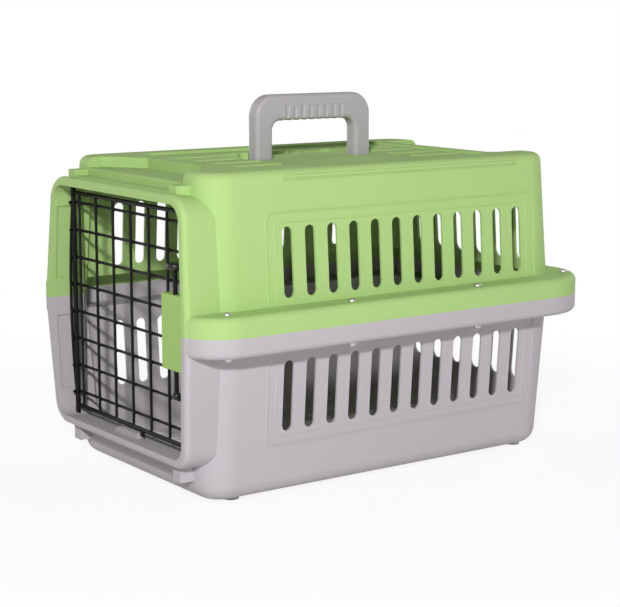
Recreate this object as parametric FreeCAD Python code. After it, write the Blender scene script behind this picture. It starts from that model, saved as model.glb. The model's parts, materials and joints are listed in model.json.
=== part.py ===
import FreeCAD, Part
import math
import os

V = FreeCAD.Vector

# Pet travel crate. Millimetres, +Z up, the door faces -Y, and the origin lies on the floor
# under the middle of the crate. Two drafted shells meet at a wide hollow rim, a wire door
# hangs on an upright rod inside a forward portal, and a carrying handle folds into the roof.

# Overall size and the split between the shells
rim_length = 453.0
rim_width = 316.0
parting_height = 156.0
roof_rise = 135.0
foot_height = 4.0

# Shells
shell_wall = 3.0
shell_draft = 4.0
wall_corner = 36.0
roof_round = 8.0
bottom_round = 16.0

# Hollow rim round the parting
rim_overhang = 26.0
rim_band = 18.0
rim_edge_round = 6.0
rim_front_corner = 40.0
rim_rear_corner = 58.0

# Ventilation slots and the shallow panels round them
slot_count = 12
slot_end_margin = 73.0
slot_width = 10.5
slot_row_centre = 11.2
far_row_shift = 27.0
rear_slot_count = 6
rear_slot_side_margin = 55.0
rear_slot_width = 17.0
upper_slot_gap = 6.0
upper_slot_height = 62.0
lower_slot_gap = 13.0
lower_slot_height = 64.0
panel_depth = 0.8
panel_corner = 9.0
panel_side_margin = 16.0
panel_end_margin = 12.0

# Portal, the collar round the doorway
portal_projection = 17.0
portal_side_gap = 35.0
portal_draft = 5.0
portal_lean = 2.0
portal_head_gap = 25.5
portal_sill_rise = 41.5
portal_lip = 8.5
portal_back_lip = 5.0
portal_depth = 40.0
portal_top_corner = 16.0
portal_sill_corner = 14.0
sill_drop = 7.0
lip_round = 4.5
inner_panel_depth = 1.8
inner_panel_front = 8.0
inner_panel_length = 27.0
inner_panel_end = 22.0

# Ledges across the front, over and under the portal
ledge_end_gap = 25.0
ledge_recess = 12.0
ledge_height = 9.0
ledge_rise = 6.0

# Roof relief
tray_side_gap = 37.0
tray_depth = 2.5
tray_corner = 12.0
tray_front_gap = 69.5
tray_rear_gap = 65.5
pocket_depth = 9.5
pocket_side_gap = 46.0
front_pocket_gap = 51.5
front_pocket_flare = 38.0
front_pocket_splay = 27.0
rear_pocket_gap = 54.5
rear_pocket_flare = 8.0
rear_pocket_splay = 8.0
shoulder_line_drop = 10.0
shoulder_line_height = 1.6
shoulder_line_depth = 0.9
shoulder_line_gap = 70.0

# Carrying handle
handle_length = 133.0
handle_rise = 57.5
handle_thickness = 16.0
handle_leg = 19.3
handle_grip = 24.5
handle_centre = -7.5
handle_outer_corner = 20.0
handle_inner_corner = 9.0
handle_edge_round = 4.5
handle_pivot_drop = 8.0
groove_count = 8
groove_pitch = 8.9
groove_radius = 5.2
groove_depth = 1.6
groove_side_height = 14.0
groove_side_radius = 3.4
groove_side_depth = 0.9

# Handle recess in the roof
recess_side_gap = 4.0
recess_end_gap = 3.0
recess_floor_gap = 1.5
recess_corner = 10.0
scallop_count = 6
scallop_pitch = 12.0
scallop_radius = 7.0
scallop_depth = 4.0
scallop_height = 9.0
island_gap = 6.0

# Handle pivot pins
pin_diameter = 6.0
pin_bite = 17.0
pin_boss = 5.0
pin_boss_wall = 3.0
pin_head_diameter = 10.0
pin_head = 2.0
running_clearance = 0.08
press_clearance = 0.02

# Door grille
door_plane = 22.0
thin_wire = 2.2
frame_wire = 4.0
rod_diameter = 4.5
bow_wire = 2.5
weld_gap = 0.03
hinge_side_gap = 16.0
upright_edge_gap = 10.8
uprights_each_side = 3
cross_wire_count = 8
cross_wire_sill_gap = 12.65
cross_wire_head_gap = 9.65
cross_wire_parting_gap = 13.05
door_head_gap = 8.5
door_sill_gap = 6.5
door_corner = 15.0
door_side_gap = 15.0
door_bow_angle = 13.76
bow_reach = 11.5
bow_end_drop = 7.0
stub_overrun = 1.0
rod_top_engagement = 2.0
rod_sill_engagement = 5.5

# Sill stop and the tab that swings in beside it
stop_block_length = 50.0
stop_block_depth = 9.0
stop_block_clearance = 2.0
stop_block_slope = 16.0
tab_width = 5.0
tab_thickness = 2.0
tab_length = 4.0
tab_gap = 1.2
tab_offset = 17.0

# Latch on the door's free side
latch_shift = 2.0
latch_width = 38.0
latch_height = 67.0
latch_front = 6.0
latch_back = 3.0
latch_skin = 1.4
latch_corner = 2.0
latch_slide_gap = 0.3
plunger_diameter = 4.0
plunger_reach = 24.5
plunger_collar = 6.4
plunger_collar_height = 2.0
knob_diameter = 15.0
knob_height = 6.0
knob_round = 2.4
lower_knob_diameter = 8.0
lower_plunger_reach = 22.2
tongue_height = 7.0
tongue_thickness = 3.0
tongue_clear = 2.0
latch_throw = 7.0
latch_squeeze = 3.0
wedge_wall = 4.0
wedge_spare = 1.0
keeper_gap = 0.8
keeper_depth = 8.0
post_width = 1.8
spring_window_wall = 1.3
spring_window_end = 10.0
spring_wire = 0.6
spring_diameter = 3.4
spring_turns = 6
latch_screw_diameter = 2.5
latch_screw_head = 4.6
latch_screw_head_height = 1.6
latch_screw_inset = 5.0
latch_screw_bite = 4.0

# Rim fasteners
screw_diameter = 4.0
screw_hole_gap = 0.2
screw_head = 8.0
screw_head_height = 2.4
screw_boss = 11.0
screw_tail = 1.5
nut_across_flats = 7.0
nut_height = 3.2
side_screw_front = 65.0
side_screw_rear = 80.0
corner_screw_front_inset = 34.0
corner_screw_front_side = 17.0
corner_screw_rear_inset = 20.0
corner_screw_rear_side = 31.0

# Feet
foot_diameter = 14.0
foot_side_gap = 35.0
foot_front_gap = 47.5
foot_rear_gap = 29.5

# Values that follow from the driving sizes
rim_half = rim_width / 2
rim_front = -rim_length / 2
rim_back = rim_length / 2
wall_half = rim_half - rim_overhang
wall_front = rim_front + portal_projection
wall_back = rim_back - rim_overhang
rim_top = parting_height + rim_band
rim_bottom = parting_height - rim_band
draft_slope = math.tan(math.radians(shell_draft))
portal_slope = math.tan(math.radians(portal_draft))
roof_height = parting_height + roof_rise
slot_pitch = (wall_back - wall_front - 2 * slot_end_margin) / (slot_count - 1)
rear_slot_pitch = 2 * (wall_half - rear_slot_side_margin) / (rear_slot_count - 1)
portal_half_width = rim_half - portal_side_gap
portal_top = roof_height - portal_head_gap
portal_sill = foot_height + portal_sill_rise
ledge_half_length = portal_half_width - ledge_end_gap
tray_half_width = wall_half - tray_side_gap
tray_front = wall_front + tray_front_gap
tray_rear = wall_back - tray_rear_gap
pocket_half_width = wall_half - pocket_side_gap
front_pocket_end = wall_front + front_pocket_gap
rear_pocket_end = wall_back - rear_pocket_gap
shoulder_line_length = wall_back - wall_front - 2 * shoulder_line_gap
foot_side = wall_half - foot_side_gap
foot_front = wall_front + foot_front_gap
foot_rear = wall_back - foot_rear_gap
tray_level = roof_height - tray_depth
handle_top = roof_height + handle_rise
pivot_height = tray_level - handle_pivot_drop
door_y = rim_front + door_plane
cross_y = door_y + thin_wire + weld_gap
frame_y = cross_y - thin_wire / 2 - weld_gap - frame_wire / 2
rod_y = cross_y - thin_wire / 2 - weld_gap - rod_diameter / 2
bow_y = cross_y - thin_wire / 2 - weld_gap - bow_wire / 2
hinge_x = hinge_side_gap - portal_half_width
door_top = portal_top - door_head_gap
door_sill = portal_sill + door_sill_gap
door_half_width = portal_half_width - door_side_gap
upright_pitch = (door_half_width - upright_edge_gap) / uprights_each_side
door_middle = (door_top + door_sill) / 2
bow_turn = math.radians(door_bow_angle)
frame_turn_x = door_half_width - door_corner * math.cos(bow_turn)
bow_half_height = door_top - door_middle - door_corner * (1 - math.sin(bow_turn))
door_bulge = bow_half_height * math.tan(bow_turn / 2)
bow_root = (rod_diameter + bow_wire) / 2 + weld_gap
latch_offset = (uprights_each_side - 0.5) * upright_pitch + latch_shift
latch_middle = parting_height - tongue_height / 2 - keeper_gap
latch_screw_spread = upright_pitch / 4
latch_back_face = door_y - thin_wire / 2 - weld_gap
latch_front_face = latch_back_face - latch_front
slide_y = latch_back_face - (latch_front - latch_skin) / 2
blade_front = slide_y - tongue_thickness / 2
blade_back = frame_y - frame_wire / 2 - latch_slide_gap
latch_low = latch_middle - latch_height / 2
latch_high = latch_middle + latch_height / 2
latch_left = latch_offset - latch_width / 2
latch_right = latch_offset + latch_width / 2
tongue_tip = portal_half_width - tongue_clear
wedge_foot = latch_offset + plunger_diameter / 2 + latch_squeeze + latch_slide_gap
wedge_rise = latch_throw + latch_squeeze + plunger_diameter + wedge_spare
wedge_left = wedge_foot - wedge_rise - wedge_wall
window_left = wedge_left + wedge_wall
post_left = window_left + latch_throw + latch_slide_gap
window_right = latch_right - spring_window_end
upper_slot_low = rim_top + upper_slot_gap
lower_slot_high = rim_bottom - lower_slot_gap


def outline(half, front, back, front_radius, rear_radius, z):
    """Rounded plan outline at height z."""
    f, r = front_radius, rear_radius
    k = math.sqrt(0.5)
    segments = []
    corners = [
        (half, front, f, 1, -1),
        (half, back, r, 1, 1),
        (-half, back, r, -1, 1),
        (-half, front, f, -1, -1),
    ]
    arcs = []
    for cx, cy, radius, sx, sy in corners:
        centre = V(cx - sx * radius, cy - sy * radius, z)
        on_side = centre + V(sx * radius, 0, 0)
        on_end = centre + V(0, sy * radius, 0)
        middle = centre + V(sx * radius * k, sy * radius * k, 0)
        ordered = (on_end, middle, on_side) if sx * sy < 0 else (on_side, middle, on_end)
        arcs.append(ordered)
    for i, (start, middle, end) in enumerate(arcs):
        segments.append(Part.Arc(start, middle, end).toShape())
        following = arcs[(i + 1) % len(arcs)][0]
        segments.append(Part.LineSegment(end, following).toShape())
    return Part.Wire(segments)


def wall_outline(inset, z):
    radius = wall_corner - inset
    return outline(wall_half - inset, wall_front + inset, wall_back - inset, radius, radius, z)


def drafted_block(z_far, inset):
    """Solid between the parting and z_far, drawn in by the draft."""
    taper = abs(z_far - parting_height) * draft_slope
    near = wall_outline(inset, parting_height)
    far = wall_outline(inset + taper, z_far)
    return Part.makeLoft([near, far], True, True)


def level_edges(shape, z):
    tolerance = 1e-4
    return [
        e for e in shape.Edges
        if abs(e.BoundBox.ZMin - z) < tolerance and abs(e.BoundBox.ZMax - z) < tolerance
    ]


def prism(wire, direction):
    return Part.Face(wire).extrude(direction)


def box(x0, x1, y0, y1, z0, z1):
    return Part.makeBox(x1 - x0, y1 - y0, z1 - z0, V(x0, y0, z0))


def rim_block(z_near, z_far, inset):
    wire = outline(
        rim_half - inset, rim_front + inset, rim_back - inset,
        rim_front_corner - inset, rim_rear_corner - inset, z_near)
    return prism(wire, V(0, 0, z_far - z_near))


def arch_profile(half_base, height, corner, y, foot, slope):
    """Doorway outline in the XZ plane, standing on the parting and narrowing away from it."""
    half_top = half_base - height * slope
    side = V(half_top - half_base, 0, height)
    side.normalize()
    down = side * -1
    inward = V(-1, 0, 0)
    turn = math.acos(down.dot(inward))
    reach = corner / math.tan(turn / 2)
    bisector = down + inward
    bisector.normalize()
    peak = V(half_top, y, height)
    on_side = peak + down * reach
    on_top = peak + inward * reach
    middle = peak + bisector * (corner / math.sin(turn / 2) - corner)
    mirror = [V(-p.x, p.y, p.z) for p in (on_side, middle, on_top)]
    base = V(half_base + foot * slope, y, -foot)
    base_left = V(-base.x, y, -foot)
    edges = [
        Part.LineSegment(base, on_side).toShape(),
        Part.Arc(on_side, middle, on_top).toShape(),
        Part.LineSegment(on_top, mirror[2]).toShape(),
        Part.Arc(mirror[2], mirror[1], mirror[0]).toShape(),
        Part.LineSegment(mirror[0], base_left).toShape(),
        Part.LineSegment(base_left, base).toShape(),
    ]
    return Part.Wire(edges)


def portal_solid(height, corner, grow_front, grow_back, drop, upper, front_extra):
    """One half of the portal's outer or inner form, leaning back from the parting."""
    foot = shell_wall
    front = arch_profile(
        portal_half_width + grow_front, height + grow_front, corner + grow_front,
        -front_extra, foot, portal_slope)
    back = arch_profile(
        portal_half_width + grow_back, height + grow_back + drop, corner + grow_back,
        portal_depth, foot, portal_slope)
    solid = Part.makeLoft([front, back], True, True)
    solid.rotate(V(0, 0, 0), V(1, 0, 0), -portal_lean)
    if not upper:
        solid = solid.mirror(V(0, 0, 0), V(0, 0, 1))
    solid.translate(V(0, rim_front, parting_height))
    return solid


def front_edges(shape):
    """Edges of the portal's leaning front face, apart from the one on the parting side."""
    faces = sorted(shape.Faces, key=lambda f: f.CenterOfMass.y)
    return [e for e in faces[0].Edges if abs(e.CenterOfMass.z - parting_height) > shell_wall * 2]


def portal_half(height, corner, drop, upper):
    outer = portal_solid(height, corner, portal_lip, portal_back_lip, drop, upper, 0.0)
    return outer.makeFillet(lip_round, front_edges(outer))


def doorway(height, corner, drop, upper):
    return portal_solid(height, corner, 0.0, 0.0, drop, upper, lip_round)


def stadium(width, low, high, centre):
    """Upright slot outline in the YZ plane at x = 0, centred on y = centre."""
    r = width / 2
    a = V(0, centre - r, low + r)
    b = V(0, centre - r, high - r)
    c = V(0, centre + r, high - r)
    d = V(0, centre + r, low + r)
    return Part.Wire([
        Part.LineSegment(a, b).toShape(),
        Part.Arc(b, V(0, centre, high), c).toShape(),
        Part.LineSegment(c, d).toShape(),
        Part.Arc(d, V(0, centre, low), a).toShape(),
    ])


def side_slots(low, high):
    """Slots through both long sides. The far row sits further forward than the near one."""
    first = slot_row_centre - slot_pitch * (slot_count - 1) / 2
    cutters = []
    for i in range(slot_count):
        near = stadium(slot_width, low, high, first + i * slot_pitch)
        far = stadium(slot_width, low, high, first - far_row_shift + i * slot_pitch)
        cutters.append(prism(near, V(rim_half, 0, 0)))
        cutters.append(prism(far, V(-rim_half, 0, 0)))
    return Part.makeCompound(cutters)


def rear_slots(low, high):
    first = -rear_slot_pitch * (rear_slot_count - 1) / 2
    cutters = []
    for i in range(rear_slot_count):
        wire = stadium(rear_slot_width, low, high, first + i * rear_slot_pitch)
        wire.rotate(V(0, 0, 0), V(0, 0, 1), 90)
        wire.translate(V(0, wall_back - wall_corner, 0))
        cutters.append(prism(wire, V(0, rim_overhang + wall_corner, 0)))
    return Part.makeCompound(cutters)


def side_panel(low, high, upper):
    """Cutter for the shallow drafted panel round a slot row, on both sides."""
    span = slot_pitch * (slot_count - 1) / 2 + slot_width / 2 + panel_side_margin
    plan = outline(
        (high - low) / 2, slot_row_centre - span, slot_row_centre + span,
        panel_corner, panel_corner, 0)
    cutter = prism(plan, V(0, 0, rim_overhang))
    cutter.rotate(V(0, 0, 0), V(0, 1, 0), 90)
    cutter.translate(V(wall_half - panel_depth, 0, (low + high) / 2))
    turn = -shell_draft if upper else shell_draft
    cutter.rotate(V(wall_half, 0, parting_height), V(0, 1, 0), turn)
    far = cutter.mirror(V(0, 0, 0), V(1, 0, 0))
    far.translate(V(0, -far_row_shift, 0))
    return cutter.fuse(far)


def rim_screw_places():
    """Plan places of the rim screws: four on each long side."""
    side = rim_half - rim_overhang / 2
    places = []
    for sign in (1, -1):
        places.append((sign * (rim_half - corner_screw_front_side), rim_front + corner_screw_front_inset))
        places.append((sign * side, -side_screw_front))
        places.append((sign * side, side_screw_rear))
        places.append((sign * (rim_half - corner_screw_rear_side), rim_back - corner_screw_rear_inset))
    return places


def cylinder(diameter, start, direction, length):
    return Part.makeCylinder(diameter / 2, length, start, direction)


def screw_bosses(z_flange):
    low = min(z_flange, parting_height)
    length = abs(z_flange - parting_height)
    up = V(0, 0, 1)
    return [cylinder(screw_boss, V(x, y, low), up, length) for x, y in rim_screw_places()]


def screw_holes():
    up = V(0, 0, 1)
    low = rim_bottom - rim_band
    size = screw_diameter + 2 * screw_hole_gap
    return Part.makeCompound([
        cylinder(size, V(x, y, low), up, 4 * rim_band) for x, y in rim_screw_places()])


def ledge(z_low, z_high):
    front = rim_front + ledge_recess
    return box(-ledge_half_length, ledge_half_length, front, wall_front + wall_corner, z_low, z_high)


def recess_bounds():
    reach = handle_top - pivot_height
    half = handle_length / 2 + recess_end_gap
    return (
        -reach - recess_end_gap,
        handle_thickness / 2 + recess_side_gap,
        handle_centre - half,
        handle_centre + half,
    )


def recess_floor():
    return pivot_height - handle_thickness / 2 - recess_floor_gap


def roof_pocket(x0, x1, y0, y1, corner, floor, grow):
    plan = outline(
        (x1 - x0) / 2 + grow, y0 - grow, y1 + grow, corner + grow, corner + grow, floor - grow)
    plan.translate(V((x0 + x1) / 2, 0, 0))
    return prism(plan, V(0, 0, handle_top - floor))


def end_pocket(end, flare, splay, sign, grow):
    """Pocket that opens to the front or the back under the roof, with slanting corners."""
    half = pocket_half_width + grow
    narrow = half - flare
    inner = end - sign * grow
    outer = sign * rim_back
    floor = roof_height - pocket_depth - grow
    corners = [
        V(-half, outer, floor), V(half, outer, floor),
        V(half, inner + sign * splay, floor), V(narrow, inner, floor),
        V(-narrow, inner, floor), V(-half, inner + sign * splay, floor),
    ]
    wire = Part.makePolygon(corners + corners[:1])
    return prism(wire, V(0, 0, handle_top - floor))


def roof_forms(grow):
    x0, x1, y0, y1 = recess_bounds()
    tray = roof_pocket(
        -tray_half_width, tray_half_width, tray_front, tray_rear, tray_corner, tray_level, grow)
    recess = roof_pocket(x0, x1, y0, y1, recess_corner, recess_floor(), grow)
    front = end_pocket(front_pocket_end, front_pocket_flare, front_pocket_splay, -1, grow)
    rear = end_pocket(rear_pocket_end, rear_pocket_flare, rear_pocket_splay, 1, grow)
    return [tray, recess, front, rear]


def recess_island(inset):
    """Block left standing between the folded legs, level with the roof tray."""
    x0, x1, y0, y1 = recess_bounds()
    under = handle_top - handle_grip - pivot_height
    half = handle_length / 2 - handle_leg - recess_end_gap - inset
    return box(
        -under + island_gap + inset, x1 + shell_wall, handle_centre - half, handle_centre + half,
        recess_floor() - shell_wall, tray_level - inset)


def recess_scallops():
    """Finger scallops along the far edge of the handle recess."""
    x0 = recess_bounds()[0]
    low = tray_level - scallop_height
    first = handle_centre - scallop_pitch * (scallop_count - 1) / 2
    x = x0 + scallop_radius - scallop_depth
    return Part.makeCompound([
        cylinder(2 * scallop_radius, V(x, first + i * scallop_pitch, low), V(0, 0, 1), roof_height)
        for i in range(scallop_count)])


def scallop_pad():
    x0 = recess_bounds()[0] - scallop_depth - shell_wall
    half = scallop_pitch * scallop_count / 2 + shell_wall + scallop_radius
    low = tray_level - scallop_height - shell_wall
    return box(x0, 0, handle_centre - half, handle_centre + half, low, roof_height)


def handle_bosses():
    """Bosses on the recess end walls that hold the pivot pins."""
    x0, x1, y0, y1 = recess_bounds()
    size = pin_diameter + 2 * pin_boss_wall
    length = shell_wall + pin_boss
    front = cylinder(size, V(0, y0 - length, pivot_height), V(0, 1, 0), length)
    rear = cylinder(size, V(0, y1, pivot_height), V(0, 1, 0), length)
    return [front, rear]


def shoulder_lines():
    """Thin step along each long side just under the roof edge."""
    z = roof_height - shoulder_line_drop
    x = wall_half - (z - parting_height) * draft_slope - shoulder_line_depth
    half = shoulder_line_length / 2
    strip = box(
        x, x + roof_round, slot_row_centre - half, slot_row_centre + half, z, z + shoulder_line_height)
    return strip.fuse(strip.mirror(V(0, 0, 0), V(1, 0, 0)))


def inner_panels(height, corner, drop, upper, low, high):
    """Framed panels in the portal's inner side walls, beside the door."""
    front = rim_front + inner_panel_front
    region = box(-rim_half, rim_half, front, front + inner_panel_length, low, high)
    form = portal_solid(height, corner, inner_panel_depth, inner_panel_depth, drop, upper, 0.0)
    return form.common(region)


def past_parting(z_far):
    """Block that clears everything on the other side of the parting."""
    low = min(z_far, parting_height)
    high = max(z_far, parting_height)
    return box(-rim_width, rim_width, -rim_length, rim_length, low, high)


def make_top_shell():
    outer = drafted_block(roof_height, 0)
    outer = outer.makeFillet(roof_round, level_edges(outer, roof_height))
    rim = rim_block(parting_height, rim_top, 0)
    rim = rim.makeFillet(rim_edge_round, level_edges(rim, rim_top))
    upper = portal_top - parting_height
    portal = portal_half(upper, portal_top_corner, 0.0, True)
    bar = ledge(portal_top, portal_top + portal_lip + ledge_rise)
    cavity = drafted_block(roof_height - shell_wall, shell_wall)
    channel = rim_block(parting_height, rim_top - shell_wall, shell_wall)
    pads = roof_forms(shell_wall) + handle_bosses() + [scallop_pad()]
    cavity = cavity.cut(pads).fuse(recess_island(shell_wall))
    shell = outer.fuse([rim, bar]).cut([cavity, channel])
    shell = shell.fuse(screw_bosses(rim_top - shell_wall) + [portal])
    opening = doorway(upper, portal_top_corner, 0.0, True)
    slot_top = upper_slot_low + upper_slot_height
    relief = roof_forms(0.0)
    relief[1] = relief[1].cut(recess_island(0.0))
    cutters = relief + [
        opening, past_parting(rim_bottom), recess_scallops(), shoulder_lines(), screw_holes(),
        inner_panels(upper, portal_top_corner, 0.0, True, rim_top, portal_top - inner_panel_end),
        side_panel(rim_top, slot_top + panel_end_margin, True),
        side_slots(upper_slot_low, slot_top),
        rear_slots(upper_slot_low, slot_top),
        rod_hole(), pin_holes(),
    ]
    return shell.cut(cutters)


def make_base_shell():
    outer = drafted_block(foot_height, 0)
    outer = outer.makeFillet(bottom_round, level_edges(outer, foot_height))
    rim = rim_block(parting_height, rim_bottom, 0)
    rim = rim.makeFillet(rim_edge_round, level_edges(rim, rim_bottom))
    lower = parting_height - portal_sill
    portal = portal_half(lower, portal_sill_corner, sill_drop, False)
    bar_top = portal_sill - portal_lip
    bar = ledge(bar_top - ledge_rise - ledge_height, bar_top)
    floor = foot_height + shell_wall
    cavity = drafted_block(floor, shell_wall)
    cavity = cavity.makeFillet(bottom_round - shell_wall, level_edges(cavity, floor))
    channel = rim_block(parting_height, rim_bottom + shell_wall, shell_wall)
    shell = outer.fuse([rim, bar]).cut([cavity, channel])
    feet = [
        cylinder(foot_diameter, V(sx * foot_side, y, 0), V(0, 0, 1), foot_height + shell_wall)
        for sx in (1, -1) for y in (foot_front, foot_rear)]
    shell = shell.fuse(screw_bosses(rim_bottom + shell_wall) + feet + [portal])
    opening = doorway(lower, portal_sill_corner, sill_drop, False)
    slot_low = lower_slot_high - lower_slot_height
    cutters = [
        opening, past_parting(rim_top), screw_holes(), keeper_slot(), rod_hole(),
        inner_panels(
            lower, portal_sill_corner, sill_drop, False, portal_sill + inner_panel_end, rim_bottom),
        side_panel(slot_low - panel_end_margin, rim_bottom, False),
        side_slots(slot_low, lower_slot_high),
        rear_slots(slot_low, lower_slot_high),
    ]
    return shell.cut(cutters).fuse(stop_block())


def sill_height(y):
    """Height of the sloping sill at depth y."""
    return portal_sill - sill_drop * (y - rim_front) / portal_depth


def stop_block():
    """Wedge-ended stop on the sill under the door."""
    right = tab_offset - tab_width / 2 - tab_gap
    left = right - stop_block_length
    top = door_sill - frame_wire / 2 - stop_block_clearance
    front = frame_y - stop_block_depth / 2
    low = sill_height(front + stop_block_depth) - shell_wall
    points = [
        V(left, front, low), V(right, front, low),
        V(right, front, top), V(left + stop_block_slope, front, top),
    ]
    wire = Part.makePolygon(points + points[:1])
    return prism(wire, V(0, stop_block_depth, 0))


def rod_span():
    return portal_sill - rod_sill_engagement, portal_top + rod_top_engagement


def rod_hole():
    low, high = rod_span()
    start = V(hinge_x, rod_y, low - running_clearance)
    size = rod_diameter + 2 * running_clearance
    return cylinder(size, start, V(0, 0, 1), high - low + 2 * running_clearance)


def keeper_slot():
    """Slot in the portal wall that takes the latch tongue, open at the parting."""
    low = latch_middle - tongue_height / 2 - keeper_gap
    return box(
        portal_half_width - portal_lip, portal_half_width + keeper_depth,
        blade_front - keeper_gap, blade_back + keeper_gap, low, parting_height)


def pin_places():
    """Inner end and direction of each pivot pin."""
    x0, x1, y0, y1 = recess_bounds()
    length = pin_bite + recess_end_gap + shell_wall + pin_boss
    front = y0 - shell_wall - pin_boss
    rear = y1 + shell_wall + pin_boss
    return [(front, V(0, 1, 0)), (rear, V(0, -1, 0))], length


def make_handle_pins():
    places, length = pin_places()
    pins = []
    for y, direction in places:
        seat = V(0, y, pivot_height)
        shank = cylinder(pin_diameter, seat, direction, length)
        head = cylinder(pin_head_diameter, seat - direction * pin_head, direction, pin_head)
        pins.append(shank.fuse(head).removeSplitter())
    return Part.makeCompound(pins)


def pin_holes():
    places, length = pin_places()
    size = pin_diameter + 2 * press_clearance
    return Part.makeCompound([
        cylinder(size, V(0, y, pivot_height), direction, length) for y, direction in places])


def handle_profile():
    """U outline in the YZ plane: legs, grip and rounded corners."""
    half = handle_length / 2
    inner = half - handle_leg
    low = pivot_height
    top = handle_top
    under = handle_top - handle_grip
    ro, ri = handle_outer_corner, handle_inner_corner
    k = math.sqrt(0.5)
    bo, bi = ro - ro * k, ri - ri * k

    def arc(a, b, c):
        return Part.Arc(V(0, *a), V(0, *b), V(0, *c)).toShape()

    def line(a, b):
        return Part.LineSegment(V(0, *a), V(0, *b)).toShape()

    edges = [
        line((-half, low), (-half, top - ro)),
        arc((-half, top - ro), (-half + bo, top - bo), (-half + ro, top)),
        line((-half + ro, top), (half - ro, top)),
        arc((half - ro, top), (half - bo, top - bo), (half, top - ro)),
        line((half, top - ro), (half, low)),
        line((half, low), (inner, low)),
        line((inner, low), (inner, under - ri)),
        arc((inner, under - ri), (inner - bi, under - bi), (inner - ri, under)),
        line((inner - ri, under), (-inner + ri, under)),
        arc((-inner + ri, under), (-inner + bi, under - bi), (-inner, under - ri)),
        line((-inner, under - ri), (-inner, low)),
        line((-inner, low), (-half, low)),
    ]
    return Part.Wire(edges)


def make_handle():
    t = handle_thickness
    wire = handle_profile()
    wire.translate(V(-t / 2, handle_centre, 0))
    handle = prism(wire, V(t, 0, 0))
    rounded = [
        e for e in handle.Edges
        if abs(abs(e.CenterOfMass.x) - t / 2) < 1e-4 and e.CenterOfMass.z > pivot_height + 1e-4]
    handle = handle.makeFillet(handle_edge_round, rounded)
    half = handle_length / 2
    eyes = []
    for y in (handle_centre - half, handle_centre + half - handle_leg):
        eyes.append(cylinder(t, V(0, y, pivot_height), V(0, 1, 0), handle_leg))
    handle = handle.fuse(eyes)
    under = handle_top - handle_grip
    first = handle_centre - groove_pitch * (groove_count - 1) / 2
    cutters = []
    for i in range(groove_count):
        y = first + i * groove_pitch
        below = V(-t, y, under - groove_radius + groove_depth)
        cutters.append(cylinder(2 * groove_radius, below, V(1, 0, 0), 2 * t))
        for side in (1, -1):
            x = side * (t / 2 + groove_side_radius - groove_side_depth)
            cutters.append(cylinder(
                2 * groove_side_radius, V(x, y, under - groove_radius), V(0, 0, 1),
                groove_radius + groove_side_height))
    for y, direction in pin_places()[0]:
        size = pin_diameter + 2 * running_clearance
        length = pin_places()[1] + running_clearance
        cutters.append(cylinder(size, V(0, y, pivot_height), direction, length))
    return handle.cut(cutters)


def pipe(edges, diameter, start, direction):
    section = Part.Wire([Part.Circle(start, direction, diameter / 2).toShape()])
    return Part.Wire(edges).makePipeShell([section], True, False)


def bulge_share(z):
    """Share of the side bow at height z: one at mid height, none at the door's top and sill."""
    away = (z - door_middle) / (door_top - door_middle)
    return 1 - away * away


def frame_half_width(z):
    return door_half_width + door_bulge * bulge_share(z)


def make_door_frame():
    """Heavy wire from the rod along the top, down the bowed free side and back along the sill."""
    y = frame_y
    start_x = hinge_x + rod_diameter / 2 + weld_gap
    r = door_corner
    half_turn = (math.pi / 2 - bow_turn) / 2
    top = [
        V(frame_turn_x, y, door_top),
        V(frame_turn_x + r * math.sin(half_turn), y, door_top - r + r * math.cos(half_turn)),
        V(door_half_width, y, door_middle + bow_half_height),
    ]
    sill = [V(p.x, y, 2 * door_middle - p.z) for p in top]
    edges = [
        Part.LineSegment(V(start_x, y, door_top), top[0]).toShape(),
        Part.Arc(top[0], top[1], top[2]).toShape(),
        Part.Arc(top[2], V(door_half_width + door_bulge, y, door_middle), sill[2]).toShape(),
        Part.Arc(sill[2], sill[1], sill[0]).toShape(),
        Part.LineSegment(sill[0], V(start_x, y, door_sill)).toShape(),
    ]
    return pipe(edges, frame_wire, V(start_x, y, door_top), V(1, 0, 0))


def make_bow_wire():
    """Light bowed wire on the hinge side, between two points of the rod."""
    y = bow_y
    x = hinge_x - bow_root
    top = V(x, y, door_top - bow_end_drop)
    low = V(x, y, door_sill + bow_end_drop)
    arc = Part.Arc(top, V(hinge_x - bow_reach, y, door_middle), low).toShape()
    return pipe([arc], bow_wire, top, arc.tangentAt(arc.FirstParameter))


def upright_places():
    return [i * upright_pitch for i in range(-uprights_each_side, uprights_each_side + 1)]


def frame_reach(x):
    """How far the inner side of the frame wire lies from the door's top or sill line at x."""
    past = max(0.0, x - frame_turn_x)
    return door_corner - math.sqrt((door_corner - frame_wire / 2) ** 2 - past ** 2)


def make_upright(x):
    gap = frame_reach(x + thin_wire / 2) + weld_gap
    low = door_sill + gap
    return cylinder(thin_wire, V(x, door_y, low), V(0, 0, 1), door_top - gap - low)


def spread(first, last, count):
    return [first + i * (last - first) / (count - 1) for i in range(count)]


def cross_wire_heights():
    """Half of the wires below the parting and half above it, evenly spread on each side."""
    half = cross_wire_count // 2
    low = spread(door_sill + cross_wire_sill_gap, parting_height - cross_wire_parting_gap, half)
    high = spread(parting_height + cross_wire_parting_gap, door_top - cross_wire_head_gap, half)
    return low + high


def make_cross_wire(z):
    bow = (bow_reach - bow_root) * bulge_share(z) + bow_root
    left = hinge_x - bow - bow_wire / 2 - stub_overrun
    right = frame_half_width(z)
    return cylinder(thin_wire, V(left, cross_y, z), V(1, 0, 0), right - left)


def make_hinge_rod():
    low, high = rod_span()
    return cylinder(rod_diameter, V(hinge_x, rod_y, low), V(0, 0, 1), high - low)


def make_stop_tab():
    x = tab_offset
    top = door_sill - frame_wire / 2 - weld_gap
    half = tab_width / 2
    thick = tab_thickness / 2
    return box(x - half, x + half, frame_y - thick, frame_y + thick, top - tab_length, top)


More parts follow.
